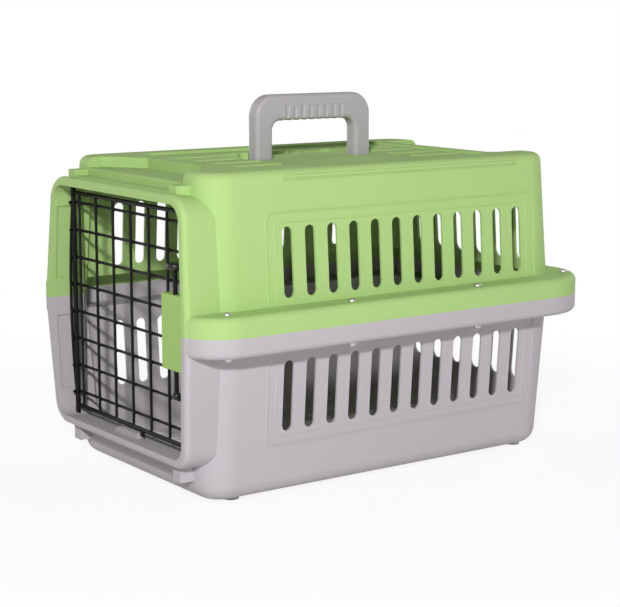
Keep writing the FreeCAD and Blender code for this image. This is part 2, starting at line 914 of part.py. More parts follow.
def wire_grooves():
    """Grooves that seat the uprights and cross wires between the latch halves."""
    size = thin_wire + 2 * weld_gap
    cutters = []
    for x in upright_places():
        cutters.append(cylinder(size, V(x, door_y, 0), V(0, 0, 1), roof_height))
        cutters.append(box(x - size / 2, x + size / 2, latch_front_face, door_y, 0, roof_height))
    for z in cross_wire_heights():
        cutters.append(cylinder(size, V(0, cross_y, z), V(1, 0, 0), rim_half))
        cutters.append(box(0, rim_half, latch_front_face, cross_y, z - size / 2, z + size / 2))
    return cutters


def latch_screw_places():
    rise = latch_height / 2 - latch_screw_inset
    return [
        (latch_offset + sx * latch_screw_spread, latch_middle + sz * rise)
        for sx in (1, -1) for sz in (1, -1)]


def latch_screw_bores(diameter, y_from, y_to):
    return [
        cylinder(diameter, V(x, y_from, z), V(0, 1, 0), y_to - y_from)
        for x, z in latch_screw_places()]


def make_latch_cover():
    """Hollow cover with a post for the spring, open at the back."""
    cover = box(latch_left, latch_right, latch_front_face, latch_back_face, latch_low, latch_high)
    rounded = [e for e in cover.Edges if e.CenterOfMass.y < latch_back_face - latch_skin / 2]
    cover = cover.makeFillet(latch_corner, rounded)
    hollow = box(
        latch_left + latch_skin, latch_right - latch_skin, latch_front_face + latch_skin,
        latch_back_face, latch_low + latch_skin, latch_high - latch_skin)
    depth = latch_front_face + latch_skin
    bosses = latch_screw_bores(latch_screw_head, depth, latch_back_face)
    post = box(
        post_left, post_left + post_width, depth, latch_back_face,
        latch_middle - tongue_height / 2 + spring_window_wall + latch_slide_gap,
        latch_middle + tongue_height / 2 - spring_window_wall - latch_slide_gap)
    cover = cover.cut(hollow).fuse(bosses + [post])
    gap = latch_slide_gap
    blade_window = box(
        latch_right - 2 * latch_skin, latch_right + latch_skin, blade_front - gap, latch_back_face,
        latch_middle - tongue_height / 2 - gap, latch_middle + tongue_height / 2 + gap)
    guide = cylinder(
        plunger_diameter + 2 * running_clearance, V(latch_offset, slide_y, latch_low - latch_skin),
        V(0, 0, 1), latch_height + 2 * latch_skin)
    guide = guide.cut(box(
        latch_left, latch_right, latch_front_face, latch_back_face,
        latch_low + latch_skin, latch_high - latch_skin))
    bores = latch_screw_bores(
        latch_screw_diameter + 2 * press_clearance, latch_back_face - latch_screw_bite, latch_back_face)
    return cover.cut([blade_window, guide] + bores)


def latch_back_end():
    return cross_y + thin_wire / 2 + latch_back


def make_latch_back_plate():
    """Plate behind the wires that closes the cover and clamps the grille."""
    plate = box(
        latch_left, latch_right, latch_back_face + weld_gap, latch_back_end(), latch_low, latch_high)
    rounded = [e for e in plate.Edges if e.CenterOfMass.y > latch_back_end() - latch_skin / 2]
    plate = plate.makeFillet(latch_corner / 2, rounded)
    bores = latch_screw_bores(
        latch_screw_diameter + 2 * press_clearance, latch_front_face, latch_back_end() + latch_skin)
    return plate.cut(wire_grooves() + bores)


def make_latch_screws():
    screws = []
    start = latch_back_face - latch_screw_bite + press_clearance
    for x, z in latch_screw_places():
        shank = cylinder(
            latch_screw_diameter, V(x, start, z), V(0, 1, 0), latch_back_end() - start)
        head = cylinder(
            latch_screw_head, V(x, latch_back_end(), z), V(0, 1, 0), latch_screw_head_height)
        screws.append(shank.fuse(head).removeSplitter())
    return Part.makeCompound(screws)


def make_latch_tongue():
    """Sliding tongue: a wedge block inside the cover and a flat blade that locks."""
    half = tongue_height / 2
    top = half + wedge_rise
    points = [
        V(wedge_left, 0, top), V(wedge_foot - wedge_rise, 0, top), V(wedge_foot, 0, half),
        V(tongue_tip, 0, half), V(tongue_tip, 0, -half), V(wedge_foot, 0, -half),
        V(wedge_foot - wedge_rise, 0, -top), V(wedge_left, 0, -top),
    ]
    tongue = prism(Part.makePolygon(points + points[:1]), V(0, tongue_thickness, 0))
    tongue.translate(V(0, blade_front, latch_middle))
    window_half = half - spring_window_wall
    window = box(
        window_left, window_right, blade_front, blade_front + tongue_thickness,
        latch_middle - window_half, latch_middle + window_half)
    thin = box(
        latch_right - 2 * latch_skin, rim_half, blade_back, latch_back_face, latch_low, latch_high)
    return tongue.cut([window, thin])


def make_latch_spring():
    """Coil between the cover's post and the end of the tongue's window."""
    start = post_left + post_width + spring_wire / 2
    end = window_right - latch_squeeze - latch_slide_gap - spring_wire / 2
    radius = (spring_diameter - spring_wire) / 2
    helix = Part.makeHelix((end - start) / spring_turns, end - start, radius)
    section = Part.Wire([Part.Circle(V(radius, 0, 0), V(0, 1, 0), spring_wire / 2).toShape()])
    coil = Part.Wire(helix.Edges).makePipeShell([section], True, True)
    coil.rotate(V(0, 0, 0), V(0, 1, 0), 90)
    coil.translate(V(start, slide_y, latch_middle))
    return coil


def plunger(reach, sign):
    """Push rod whose slanted inner end bears on the tongue's wedge."""
    half = latch_height / 2
    tip = tongue_height / 2
    rod = cylinder(plunger_diameter, V(latch_offset, slide_y, tip), V(0, 0, 1), half + reach - tip)
    stop_high = half - latch_skin - latch_throw - latch_slide_gap
    collar = box(
        latch_offset - plunger_collar / 2, latch_offset + plunger_collar / 2,
        slide_y - tongue_thickness / 2, slide_y + tongue_thickness / 2,
        stop_high - plunger_collar_height, stop_high)
    lift = latch_slide_gap * math.sqrt(2)
    points = [
        V(wedge_left, latch_front_face, 0),
        V(wedge_foot + tip + lift, latch_front_face, 0),
        V(wedge_left, latch_front_face, wedge_foot + tip + lift - wedge_left),
    ]
    slope = prism(Part.makePolygon(points + points[:1]), V(0, latch_front * 2, 0))
    rod = rod.cut(slope).fuse(collar).removeSplitter()
    if sign < 0:
        rod = rod.mirror(V(0, 0, 0), V(0, 0, 1))
    rod.translate(V(0, 0, latch_middle))
    return rod


def knob(diameter, reach, sign):
    """Round pushing knob with a blind socket for the end of its rod."""
    half = latch_height / 2
    low = half + reach - knob_height / 2
    body = cylinder(diameter, V(latch_offset, slide_y, low), V(0, 0, 1), knob_height)
    body = body.makeFillet(knob_round, [e for e in body.Edges if isinstance(e.Curve, Part.Circle)])
    socket = cylinder(
        plunger_diameter + 2 * press_clearance, V(latch_offset, slide_y, low), V(0, 0, 1),
        knob_height / 2 + press_clearance)
    body = body.cut(socket)
    if sign < 0:
        body = body.mirror(V(0, 0, 0), V(0, 0, 1))
    body.translate(V(0, 0, latch_middle))
    return body


def make_upper_plunger():
    return plunger(plunger_reach, 1)


def make_lower_plunger():
    return plunger(lower_plunger_reach, -1)


def make_upper_knob():
    return knob(knob_diameter, plunger_reach, 1)


def make_lower_knob():
    return knob(lower_knob_diameter, lower_plunger_reach, -1)


def make_rim_screws():
    screws = []
    low = rim_bottom - nut_height - screw_tail
    for x, y in rim_screw_places():
        shank = cylinder(screw_diameter, V(x, y, low), V(0, 0, 1), rim_top - low)
        head = cylinder(screw_head, V(x, y, rim_top), V(0, 0, 1), screw_head_height)
        crown = [e for e in head.Edges if e.CenterOfMass.z > rim_top + screw_head_height / 2]
        head = head.makeFillet(screw_head_height / 2, crown)
        screws.append(shank.fuse(head).removeSplitter())
    return Part.makeCompound(screws)


def make_rim_nuts():
    nuts = []
    radius = nut_across_flats / math.sqrt(3)
    for x, y in rim_screw_places():
        corners = [
            V(x + radius * math.cos(math.radians(a)), y + radius * math.sin(math.radians(a)), rim_bottom)
            for a in range(0, 360, 60)]
        nut = prism(Part.makePolygon(corners + corners[:1]), V(0, 0, -nut_height))
        bore = cylinder(
            screw_diameter + 2 * press_clearance, V(x, y, rim_bottom - nut_height), V(0, 0, 1), nut_height)
        nuts.append(nut.cut(bore))
    return Part.makeCompound(nuts)


nodes = {
    "top_shell": make_top_shell,
    "base_shell": make_base_shell,
    "rim_screws": make_rim_screws,
    "rim_nuts": make_rim_nuts,
    "carry_handle": make_handle,
    "handle_pivot_pins": make_handle_pins,
    "hinge_rod": make_hinge_rod,
    "door_frame_wire": make_door_frame,
    "door_bow_wire": make_bow_wire,
    "door_stop_tab": make_stop_tab,
    "latch_cover": make_latch_cover,
    "latch_back_plate": make_latch_back_plate,
    "latch_screws": make_latch_screws,
    "latch_spring": make_latch_spring,
    "latch_tongue": make_latch_tongue,
    "latch_upper_plunger": make_upper_plunger,
    "latch_upper_knob": make_upper_knob,
    "latch_lower_plunger": make_lower_plunger,
    "latch_lower_knob": make_lower_knob,
}

os.makedirs("parts", exist_ok=True)
for name, make in nodes.items():
    make().exportStep("parts/" + name + ".step")
for number, place in enumerate(upright_places(), 1):
    make_upright(place).exportStep("parts/door_upright_%d.step" % number)
for number, height in enumerate(cross_wire_heights(), 1):
    make_cross_wire(height).exportStep("parts/door_cross_wire_%d.step" % number)
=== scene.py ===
import json
import math
import bpy
import bmesh
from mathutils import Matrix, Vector
from mathutils.bvhtree import BVHTree


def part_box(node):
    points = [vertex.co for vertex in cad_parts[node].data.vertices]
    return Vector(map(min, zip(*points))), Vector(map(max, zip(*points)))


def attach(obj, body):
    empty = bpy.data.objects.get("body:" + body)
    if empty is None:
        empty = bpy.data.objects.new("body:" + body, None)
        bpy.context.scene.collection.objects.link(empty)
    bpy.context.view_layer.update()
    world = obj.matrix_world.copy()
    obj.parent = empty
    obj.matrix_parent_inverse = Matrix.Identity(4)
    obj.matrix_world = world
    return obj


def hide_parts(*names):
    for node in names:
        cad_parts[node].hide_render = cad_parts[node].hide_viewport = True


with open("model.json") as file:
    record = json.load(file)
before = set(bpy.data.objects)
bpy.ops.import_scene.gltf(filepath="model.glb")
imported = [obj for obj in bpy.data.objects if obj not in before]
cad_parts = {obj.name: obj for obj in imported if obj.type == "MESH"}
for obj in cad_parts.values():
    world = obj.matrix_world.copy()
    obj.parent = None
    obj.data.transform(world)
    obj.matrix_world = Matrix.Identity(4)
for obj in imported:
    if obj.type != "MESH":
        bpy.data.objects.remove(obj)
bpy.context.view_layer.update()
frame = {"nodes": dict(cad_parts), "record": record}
nodes = frame["nodes"]
slots = {part["node"]: part["material_slot"] for part in frame["record"]["subparts"]}
print("frame loaded:", len(nodes), "nodes")


class Flow:  # one socket of a node tree, so that node maths reads as maths
    def __init__(self, tree, socket=None):
        self.tree, self.socket = tree, socket

    def node(self, kind, settings=None, inputs=None, out=0):
        made = self.tree.nodes.new(kind)
        for key, value in (settings or {}).items():
            setattr(made, key, value)
        for key, value in (inputs or {}).items():
            if isinstance(value, Flow):
                self.tree.links.new(value.socket, made.inputs[key])
            else:
                made.inputs[key].default_value = value
        return Flow(self.tree, made.outputs[out] if len(made.outputs) else None)

    def other(self, out):  # another output of the same node
        return Flow(self.tree, self.socket.node.outputs[out])

    def maths(self, operation, *values):
        return self.node("ShaderNodeMath", {"operation": operation}, dict(enumerate(values)))

    def __add__(self, value):
        return self.maths("ADD", self, value)

    def __radd__(self, value):
        return self.maths("ADD", value, self)

    def __sub__(self, value):
        return self.maths("SUBTRACT", self, value)

    def __rsub__(self, value):
        return self.maths("SUBTRACT", value, self)

    def __mul__(self, value):
        return self.maths("MULTIPLY", self, value)

    def __rmul__(self, value):
        return self.maths("MULTIPLY", value, self)

    def __truediv__(self, value):
        return self.maths("DIVIDE", self, value)

    def centred(self):  # noise about zero
        return self - 0.5

    def between(self, low, high):  # 0 below low, 1 above high
        return self.node("ShaderNodeMapRange", {"interpolation_type": "SMOOTHSTEP"},
                         {"Value": self, "From Min": low, "From Max": high})

    def mix(self, factor, first, second):
        return self.node("ShaderNodeMix", {"data_type": "RGBA"}, {0: factor, 6: first, 7: second}, out=2)

    def vector(self, x=0.0, y=0.0, z=0.0):
        return self.node("ShaderNodeCombineXYZ", None, {"X": x, "Y": y, "Z": z})


def rgb(red, green, blue):  # a screen colour as the linear one that shaders take
    def linear(value):
        share = value / 255
        return share / 12.92 if share <= 0.04045 else ((share + 0.055) / 1.055) ** 2.4
    return linear(red), linear(green), linear(blue), 1.0


def shade(colour, factor):
    return tuple(min(1.0, part * factor) for part in colour[:3]) + (1.0,)


def newFinish(name):
    material = bpy.data.materials.new(name)
    material.use_nodes = True
    material.node_tree.nodes.clear()
    return material, Flow(material.node_tree)


def closeFinish(flow, colour, roughness, bump, fixed, metallic=0.0):
    surface = {"Base Color": colour, "Roughness": roughness, "Normal": bump, "Metallic": metallic}
    surface.update(fixed)
    shader = flow.node("ShaderNodeBsdfPrincipled", None, surface)
    flow.node("ShaderNodeOutputMaterial", None, {"Surface": shader})


def objectPlace(flow):
    return flow.node("ShaderNodeTexCoord", out="Object")


def noise(flow, where, scale, detail=2.0, distortion=0.0):
    return flow.node("ShaderNodeTexNoise", None, {
        "Vector": where, "Scale": scale, "Detail": detail, "Distortion": distortion})


def stretched(flow, where, scale, turn=(0.0, 0.0, 0.0)):
    return flow.node("ShaderNodeMapping", None, {"Vector": where, "Scale": scale, "Rotation": turn})


def bumped(flow, marks, strength, height):
    return flow.node("ShaderNodeBump", None, {
        "Strength": strength, "Distance": marks["bumpDistance"], "Height": height})


# Moulded polypropylene: fine spark-eroded grain, slow flow marks, a few hairline scuffs
mouldedMarks = {
    "flowDetail": 3.0, "flowTwist": 0.6, "darkFlow": 0.965, "paleFlow": 1.03, "flowRough": 0.09,
    "grainShade": 0.86, "grainRough": 0.10, "bumpDistance": 0.0004,
    "streakStretch": (22.0, 22.0, 640.0), "streakTurn": (0.5, 0.35, 0.2), "streakBump": 0.25,
    "scuffFrom": 0.69, "scuffTo": 0.74, "scuffShade": 1.18, "scuffShare": 0.35, "scuffRough": 0.12,
    "patchScale": 14.0, "patchFrom": 0.52, "patchTo": 0.66, "ior": 1.49,
}


def mouldedPlastic(name, look):
    marks, colour = mouldedMarks, look["colour"]
    material, flow = newFinish(name)
    where = objectPlace(flow)
    slow = noise(flow, where, look["flowScale"], marks["flowDetail"], marks["flowTwist"])
    grain = noise(flow, where, look["grainScale"])
    streaks = noise(flow, stretched(flow, where, marks["streakStretch"], marks["streakTurn"]), 1.0)
    patches = noise(flow, where, marks["patchScale"]).between(marks["patchFrom"], marks["patchTo"])
    scuff = streaks.between(marks["scuffFrom"], marks["scuffTo"]) * patches
    tint = flow.mix(slow, shade(colour, marks["darkFlow"]), shade(colour, marks["paleFlow"]))
    tint = flow.mix(grain * look["grainTint"], tint, shade(colour, marks["grainShade"]))
    tint = flow.mix(scuff * marks["scuffShare"], tint, shade(colour, marks["scuffShade"]))
    rough = look["roughness"] + marks["flowRough"] * slow.centred()
    rough = rough + marks["grainRough"] * grain.centred() + marks["scuffRough"] * scuff
    bump = bumped(flow, marks, look["grainStrength"], grain + marks["streakBump"] * streaks)
    closeFinish(flow, tint, rough, bump, {"IOR": marks["ior"], "Specular IOR Level": look["shine"]})
    return material


# Black dip coat on wire: slightly lumpy, glossier where it ran thick
coatMarks = {
    "runStretch": (1.0, 1.0, 0.35), "runDetail": 3.0, "runShade": 2.1, "runRough": 0.18, "runBump": 0.7,
    "poreBump": 0.3, "bumpStrength": 0.35, "bumpDistance": 0.0003,
    "rubScale": 38.0, "rubDetail": 4.0, "rubFrom": 0.62, "rubTo": 0.78, "rubShare": 0.5, "rubRough": 0.1,
    "ior": 1.52, "shine": 0.18,
}


def dippedCoat(name, look):
    marks = coatMarks
    material, flow = newFinish(name)
    where = objectPlace(flow)
    runs = noise(flow, stretched(flow, where, marks["runStretch"]), look["runScale"], marks["runDetail"])
    pores = noise(flow, where, look["poreScale"])
    rubbed = noise(flow, where, marks["rubScale"], marks["rubDetail"])
    rubbed = rubbed.between(marks["rubFrom"], marks["rubTo"])
    tint = flow.mix(runs, look["colour"], shade(look["colour"], marks["runShade"]))
    tint = flow.mix(rubbed * marks["rubShare"], tint, look["rubbed"])
    rough = look["roughness"] + marks["runRough"] * runs.centred() + marks["rubRough"] * rubbed
    bump = bumped(flow, marks, marks["bumpStrength"], marks["runBump"] * runs + marks["poreBump"] * pores)
    closeFinish(flow, tint, rough, bump, {"IOR": marks["ior"], "Specular IOR Level": marks["shine"]})
    return material


# Zinc and bare steel: mottled plating with a drawn direction
platingMarks = {
    "spangleShade": 0.8, "spangleShare": 0.6, "spangleRough": 0.12, "drawnDetail": 3.0, "drawnRough": 0.06,
    "dullScale": 90.0, "dullDetail": 3.0, "dullFrom": 0.45, "dullTo": 0.75, "dullShare": 0.45,
    "dullRough": 0.16, "dullLoss": 0.25, "bumpStrength": 0.25, "bumpDistance": 0.0002,
}


def platedSteel(name, look):
    marks, colour = platingMarks, look["colour"]
    material, flow = newFinish(name)
    where = objectPlace(flow)
    cells = flow.node("ShaderNodeTexVoronoi", None, {
        "Vector": where, "Scale": look["spangle"]}, out="Color")
    spangle = flow.node("ShaderNodeSeparateColor", None, {"Color": cells})
    drawn = noise(flow, stretched(flow, where, look["drawn"]), 1.0, marks["drawnDetail"])
    dull = noise(flow, where, marks["dullScale"], marks["dullDetail"])
    dull = dull.between(marks["dullFrom"], marks["dullTo"])
    tint = flow.mix(spangle * marks["spangleShare"], colour, shade(colour, marks["spangleShade"]))
    tint = flow.mix(dull * marks["dullShare"], tint, look["dull"])
    rough = look["roughness"] + marks["spangleRough"] * spangle + marks["dullRough"] * dull
    rough = rough + marks["drawnRough"] * drawn.centred()
    bump = bumped(flow, marks, marks["bumpStrength"], drawn)
    closeFinish(flow, tint, rough, bump, {}, 1.0 - marks["dullLoss"] * dull)
    return material


# Glossy push knobs with a turned look and finger marks
knobMarks = {
    "swirlStretch": (140.0, 140.0, 1800.0), "swirlShade": 1.7, "swirlRough": 0.05, "printScale": 160.0,
    "printDetail": 4.0, "printFrom": 0.5, "printTo": 0.7, "printShare": 0.3, "printRough": 0.14,
    "bumpStrength": 0.2, "bumpDistance": 0.0002, "ior": 1.5, "shine": 0.5,
}


def knobPlastic(name, look):
    marks = knobMarks
    material, flow = newFinish(name)
    where = objectPlace(flow)
    swirl = noise(flow, stretched(flow, where, marks["swirlStretch"]), 1.0)
    prints = noise(flow, where, marks["printScale"], marks["printDetail"])
    prints = prints.between(marks["printFrom"], marks["printTo"])
    tint = flow.mix(swirl, look["colour"], shade(look["colour"], marks["swirlShade"]))
    tint = flow.mix(prints * marks["printShare"], tint, look["worn"])
    rough = look["roughness"] + marks["printRough"] * prints + marks["swirlRough"] * swirl.centred()
    bump = bumped(flow, marks, marks["bumpStrength"], swirl)
    closeFinish(flow, tint, rough, bump, {"IOR": marks["ior"], "Specular IOR Level": marks["shine"]})
    return material


finishLook = {
    "green": {"colour": rgb(168, 199, 127), "flowScale": 5.0, "grainScale": 1300.0, "grainTint": 0.12,
              "grainStrength": 0.16, "roughness": 0.70, "shine": 0.10},
    "grey": {"colour": rgb(182, 176, 181), "flowScale": 4.5, "grainScale": 1250.0, "grainTint": 0.12,
             "grainStrength": 0.16, "roughness": 0.64, "shine": 0.24},
    "handle": {"colour": rgb(172, 167, 172), "flowScale": 9.0, "grainScale": 1500.0, "grainTint": 0.18,
               "grainStrength": 0.24, "roughness": 0.5, "shine": 0.4},
    "latch": {"colour": rgb(158, 192, 104), "flowScale": 14.0, "grainScale": 1500.0, "grainTint": 0.12,
              "grainStrength": 0.16, "roughness": 0.55, "shine": 0.36},
    "wire": {"colour": rgb(9, 7, 9), "rubbed": rgb(30, 27, 29), "runScale": 70.0, "poreScale": 1600.0,
             "roughness": 0.5},
    "pushRod": {"colour": rgb(12, 11, 12), "rubbed": rgb(44, 42, 43), "runScale": 120.0,
                "poreScale": 1900.0, "roughness": 0.42},
    "knob": {"colour": rgb(28, 27, 29), "worn": rgb(56, 54, 56), "roughness": 0.28},
    "zinc": {"colour": rgb(214, 213, 206), "dull": rgb(168, 165, 158), "spangle": 900.0,
             "drawn": (300.0, 300.0, 2600.0), "roughness": 0.26},
    "pin": {"colour": rgb(198, 198, 200), "dull": rgb(150, 148, 146), "spangle": 700.0,
            "drawn": (2400.0, 160.0, 2400.0), "roughness": 0.3},
    "spring": {"colour": rgb(186, 187, 192), "dull": rgb(128, 127, 130), "spangle": 1200.0,
               "drawn": (500.0, 2600.0, 2600.0), "roughness": 0.28},
    "tongue": {"colour": rgb(188, 189, 194), "dull": rgb(138, 136, 134), "spangle": 500.0,
               "drawn": (90.0, 2200.0, 2200.0), "roughness": 0.34},
}
finishes = {
    "green_shell": mouldedPlastic("greenShell", finishLook["green"]),
    "grey_shell": mouldedPlastic("greyShell", finishLook["grey"]),
    "grey_handle": mouldedPlastic("greyHandle", finishLook["handle"]),
    "green_latch": mouldedPlastic("greenLatch", finishLook["latch"]),
    "black_wire": dippedCoat("blackWire", finishLook["wire"]),
    "black_rod": dippedCoat("blackRod", finishLook["pushRod"]),
    "black_knob": knobPlastic("blackKnob", finishLook["knob"]),
    "zinc_screws": platedSteel("zincScrews", finishLook["zinc"]),
    "steel_pins": platedSteel("steelPins", finishLook["pin"]),
    "spring_steel": platedSteel("springSteel", finishLook["spring"]),
    "tongue_steel": platedSteel("tongueSteel", finishLook["tongue"]),
}
print("finishes:", len(finishes))


def dress(mesh, slot):
    mesh.materials.clear()
    mesh.materials.append(finishes[slot])
    for face in mesh.polygons:
        face.material_index = 0


for node, slot in slots.items():
    dress(nodes[node].data, slot)
print("CAD nodes dressed")


def middleOf(name):
    low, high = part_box(name)
    return (low + high) / 2


def objectOf(name, mesh):
    obj = bpy.data.objects.new(name, mesh)
    bpy.context.scene.collection.objects.link(obj)
    return obj


def meshOf(name, made):
    mesh = bpy.data.meshes.new(name)
    made.to_mesh(mesh)
    made.free()
    return mesh


def pointCloud(name, places, edges=()):  # what a node tree puts things on or runs tubes along
    mesh = bpy.data.meshes.new(name)
    mesh.from_pydata([tuple(place) for place in places], edges, [])
    return objectOf(name, mesh)


def evaluatedMesh(obj):  # a plain copy of the mesh with its modifiers applied
    depsgraph = bpy.context.evaluated_depsgraph_get()
    return bpy.data.meshes.new_from_object(obj.evaluated_get(depsgraph), depsgraph=depsgraph)


def smoothFaces(obj):
    for face in obj.data.polygons:
        face.use_smooth = True


def socketKind(value):
    if isinstance(value, bpy.types.Object):
        return "NodeSocketObject"
    return "NodeSocketInt" if isinstance(value, int) else "NodeSocketFloat"


def newTree(name, values, *keys):  # a node tree with an input for each of the named values
    tree = bpy.data.node_groups.new(name, "GeometryNodeTree")
    tree.interface.new_socket("Geometry", in_out="INPUT", socket_type="NodeSocketGeometry")
    for key in keys:
        tree.interface.new_socket(key, in_out="INPUT", socket_type=socketKind(values[key]))
    tree.interface.new_socket("Geometry", in_out="OUTPUT", socket_type="NodeSocketGeometry")
    flow = Flow(tree)
    return tree, flow, flow.node("NodeGroupInput")


def closeTree(flow, geometry, material):
    plain = flow.node("GeometryNodeRealizeInstances", None, {"Geometry": geometry})
    dressed = flow.node("GeometryNodeSetMaterial", None, {"Geometry": plain, "Material": material})
    flow.node("NodeGroupOutput", None, {"Geometry": dressed})


def runTree(obj, tree, values):  # sets the tree's inputs, then keeps the plain mesh
    modifier = obj.modifiers.new(tree.name, "NODES")
    modifier.node_group = tree
    for item in tree.interface.items_tree:
        if item.in_out == "INPUT" and item.name in values:
            modifier[item.identifier] = values[item.name]
    mesh = evaluatedMesh(obj)
    obj.modifiers.remove(modifier)
    obj.data = mesh


def straightRun(flow, half, steps):  # a line along Y with even steps
    line = flow.node("GeometryNodeCurvePrimitiveLine", None, {
        "Start": flow.vector(y=0.0 - half), "End": flow.vector(y=half)})
    return flow.node("GeometryNodeResampleCurve", None, {"Curve": line, "Count": steps})


def alongRun(flow):
    place = flow.node("GeometryNodeInputPosition")
    return flow.node("ShaderNodeSeparateXYZ", None, {"Vector": place}, out="Y")


def tubeOf(flow, run, sides, radius):
    profile = flow.node("GeometryNodeCurvePrimitiveCircle", None, {"Resolution": sides, "Radius": radius})
    return flow.node("GeometryNodeCurveToMesh", None, {
        "Curve": run, "Profile Curve": profile, "Fill Caps": True})


def copiesOf(flow, piece, points, placing):
    return flow.node("GeometryNodeInstanceOnPoints", None, {"Points": points, "Instance": piece, **placing})


# Wavy anti-slip ribs moulded into the cabin floor, running front to back
floorRibs = {
    "ribs": 17, "spacing": 0.0126, "halfLength": 0.164, "middle": 0.004, "wave": 0.0038,
    "waveLength": 0.041, "radius": 0.0030, "floorTop": 0.007, "lift": 0.0019, "upright": 1.53,
    "steps": 190, "sides": 12,
}


def makeFloorRibs(look):
    tree, flow, given = newTree("floorRibTree", look, *look)
    run = straightRun(flow, given.other("halfLength"), given.other("steps"))
    angle = alongRun(flow) * (2 * math.pi) / given.other("waveLength")
    sway = flow.maths("SINE", angle) * given.other("wave")
    run = flow.node("GeometryNodeSetPosition", None, {"Geometry": run, "Offset": flow.vector(x=sway)})
    rib = tubeOf(flow, run, given.other("sides"), given.other("radius"))
    first = given.other("spacing") * (given.other("ribs") - 1.0) * -0.5
    height = given.other("floorTop") + given.other("lift")
    rows = flow.node("GeometryNodeMeshLine", None, {
        "Count": given.other("ribs"), "Start Location": flow.vector(first, given.other("middle"), height),
        "Offset": flow.vector(x=given.other("spacing"))})
    placed = copiesOf(flow, rib, rows, {"Scale": flow.vector(1.0, 1.0, given.other("upright"))})
    closeTree(flow, placed, finishes["grey_shell"])
    obj = pointCloud("floorRibs", [])
    runTree(obj, tree, look)
    smoothFaces(obj)
    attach(obj, "crate")
    return obj


ribs = makeFloorRibs(floorRibs)
print("floor ribs:", len(ribs.data.polygons), "faces")


# Straight door wires with their dip coat, a little lumpy along the run
coatedWires = {"coat": 0.00025, "sides": 14, "steps": 90, "lump": 0.10, "lumpScale": 130.0}


def makeCoatedWires(name, look, wireNodes, axis):
    ends = []
    for wireNode in wireNodes:
        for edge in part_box(wireNode):
            end = middleOf(wireNode)
            end[axis] = edge[axis]
            ends.append(end)
    low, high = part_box(wireNodes[-1])
    values = {**look, "wire": (high.y - low.y) / 2}
    tree, flow, given = newTree(name + "Tree", values, *values)
    run = flow.node("GeometryNodeMeshToCurve", None, {"Mesh": given.other("Geometry")})
    run = flow.node("GeometryNodeResampleCurve", None, {"Curve": run, "Count": given.other("steps")})
    lumps = noise(flow, flow.node("GeometryNodeInputPosition"), given.other("lumpScale"))
    run = flow.node("GeometryNodeSetCurveRadius", None, {
        "Curve": run, "Radius": 1.0 + given.other("lump") * lumps.centred()})
    tube = tubeOf(flow, run, given.other("sides"), given.other("wire") + given.other("coat"))
    closeTree(flow, tube, finishes["black_wire"])
    obj = pointCloud(name, ends, [(k, k + 1) for k in range(0, len(ends), 2)])
    runTree(obj, tree, values)
    smoothFaces(obj)
    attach(obj, "door")
    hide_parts(*wireNodes)
    return obj


uprightNodes = sorted(n for n in nodes if n.startswith("door_upright_"))
crossNodes = sorted(n for n in nodes if n.startswith("door_cross_wire_"))
uprights = makeCoatedWires("doorUprights", coatedWires, uprightNodes, 2)
crossWires = makeCoatedWires("doorCrossWires", coatedWires, crossNodes, 0)
print("door wires:", len(uprights.data.polygons) + len(crossWires.data.polygons), "faces")


# Spot-weld beads where the door wires cross each other and the hinge rod
weldBeads = {"width": 0.0044, "depth": 0.0026, "ball": 0.5, "fineness": 2, "offRod": 0.0002}


def weldPlaces(look):
    rod, rodBack = middleOf("hinge_rod"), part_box("hinge_rod")[1].y
    places = []
    for cross in map(middleOf, crossNodes):
        for upright in map(middleOf, uprightNodes):
            places.append(Vector((upright.x, (upright.y + cross.y) / 2, cross.z)))
        places.append(Vector((rod.x, rodBack + look["offRod"], cross.z)))
    return places


def makeWelds(look):
    tree, flow, given = newTree("weldTree", look, "width", "depth", "ball", "fineness")
    ball = flow.node("GeometryNodeMeshIcoSphere", None, {
        "Radius": given.other("ball"), "Subdivisions": given.other("fineness")})
    size = flow.vector(given.other("width"), given.other("depth"), given.other("width"))
    beads = copiesOf(flow, ball, given.other("Geometry"), {"Scale": size})
    closeTree(flow, beads, finishes["black_wire"])
    obj = pointCloud("doorWelds", weldPlaces(look))
    runTree(obj, tree, look)
    smoothFaces(obj)
    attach(obj, "door")
    return obj


welds = makeWelds(weldBeads)
print("weld beads:", len(welds.data.polygons), "faces")


# Ends of the cross wires, hooked round the hinge rod
wireEnds = {"wire": 0.00135, "from": math.radians(75), "sweep": math.radians(215), "steps": 36, "sides": 14}


def makeWireEnds(look):
    rod = middleOf("hinge_rod")
    values = {**look, "loop": middleOf(crossNodes[0]).y - rod.y}
    tree, flow, given = newTree("wireEndTree", values, *values)
    hook = flow.node("GeometryNodeCurveArc", None, {
        "Resolution": given.other("steps"), "Radius": given.other("loop"),
        "Start Angle": given.other("from"), "Sweep Angle": given.other("sweep")})
    tube = tubeOf(flow, hook, given.other("sides"), given.other("wire"))
    closeTree(flow, copiesOf(flow, tube, given.other("Geometry"), {}), finishes["black_wire"])
    obj = pointCloud("doorWireEnds", [(rod.x, rod.y, middleOf(n).z) for n in crossNodes])
    runTree(obj, tree, values)
    smoothFaces(obj)
    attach(obj, "door")
    return obj


ends = makeWireEnds(wireEnds)
print("wire ends:", len(ends.data.polygons), "faces")


# Low ribs with rounded ends on the roof tray
roofRibs = {
    "halfLength": 0.026, "halfWidth": 0.0060, "heightShare": 0.30, "tipShare": 0.0001, "steps": 60,
    "sides": 20, "trayTop": 0.2885, "columns": (-0.052, -0.018, 0.018, 0.052), "rows": (-0.106, 0.103),
}


